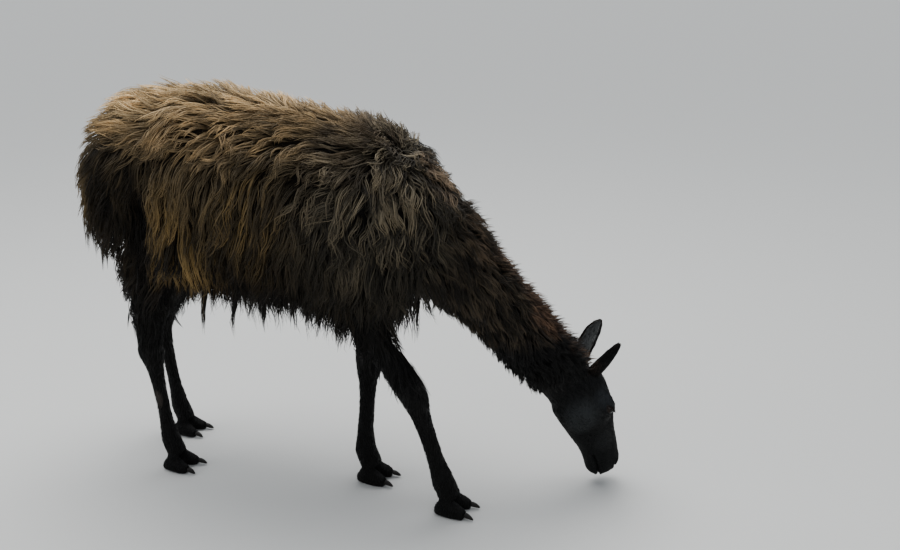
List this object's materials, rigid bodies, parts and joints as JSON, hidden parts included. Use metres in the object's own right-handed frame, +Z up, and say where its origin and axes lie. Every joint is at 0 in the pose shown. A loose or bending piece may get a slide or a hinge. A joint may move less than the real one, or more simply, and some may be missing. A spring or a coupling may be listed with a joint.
{
  "type": "llama",
  "caption": "Dark long-haired llama standing with one foreleg forward and its neck lowered to graze.",
  "frame": {"origin": "on the floor under the middle of the whole animal's bounding box", "axes": "+X towards the head along the back, +Y to the llama's left, +Z up; the soles are at z = 0"},
  "size_m": [1.5582, 0.5428, 1.1462],
  "materials": {
    "trunk_barrel": "long shaggy wool, sun-bleached along the back",
    "trunk_hips": "long shaggy wool, sun-bleached along the back",
    "neck_lower": "medium wool, blackish brown",
    "neck_upper": "medium wool, blackish brown",
    "head": "short sleek hair, black",
    "ear_left": "short sleek hair, black",
    "ear_right": "short sleek hair, black",
    "eye_left": "wet and glossy",
    "eye_right": "wet and glossy",
    "tail": "long shaggy wool, sun-bleached along the back",
    "leg_fore_left_upper": "short sleek hair, black",
    "leg_fore_left_lower": "short sleek hair, black",
    "foot_fore_left": "short sleek hair, black",
    "nail_fore_left_1": "dull horn",
    "nail_fore_left_2": "dull horn",
    "leg_fore_right_upper": "short sleek hair, black",
    "leg_fore_right_lower": "short sleek hair, black",
    "foot_fore_right": "short sleek hair, black",
    "nail_fore_right_1": "dull horn",
    "nail_fore_right_2": "dull horn",
    "leg_hind_left_upper": "short sleek hair, black",
    "leg_hind_left_lower": "short sleek hair, black",
    "foot_hind_left": "short sleek hair, black",
    "nail_hind_left_1": "dull horn",
    "nail_hind_left_2": "dull horn",
    "leg_hind_right_upper": "short sleek hair, black",
    "leg_hind_right_lower": "short sleek hair, black",
    "foot_hind_right": "short sleek hair, black",
    "nail_hind_right_1": "dull horn",
    "nail_hind_right_2": "dull horn"
  },
  "bodies": {
    "root": {"trunk_barrel": "trunk_barrel", "trunk_hips": "trunk_hips", "neck_lower": "neck_lower", "neck_upper": "neck_upper", "head": "head", "ear_left": "ear_left", "ear_right": "ear_right", "eye_left": "eye_left", "eye_right": "eye_right", "tail": "tail", "leg_fore_left_upper": "leg_fore_left_upper", "leg_fore_left_lower": "leg_fore_left_lower", "foot_fore_left": "foot_fore_left", "nail_fore_left_1": "nail_fore_left_1", "nail_fore_left_2": "nail_fore_left_2", "leg_fore_right_upper": "leg_fore_right_upper", "leg_fore_right_lower": "leg_fore_right_lower", "foot_fore_right": "foot_fore_right", "nail_fore_right_1": "nail_fore_right_1", "nail_fore_right_2": "nail_fore_right_2", "leg_hind_left_upper": "leg_hind_left_upper", "leg_hind_left_lower": "leg_hind_left_lower", "foot_hind_left": "foot_hind_left", "nail_hind_left_1": "nail_hind_left_1", "nail_hind_left_2": "nail_hind_left_2", "leg_hind_right_upper": "leg_hind_right_upper", "leg_hind_right_lower": "leg_hind_right_lower", "foot_hind_right": "foot_hind_right", "nail_hind_right_1": "nail_hind_right_1", "nail_hind_right_2": "nail_hind_right_2"}
  },
  "joints": []
}
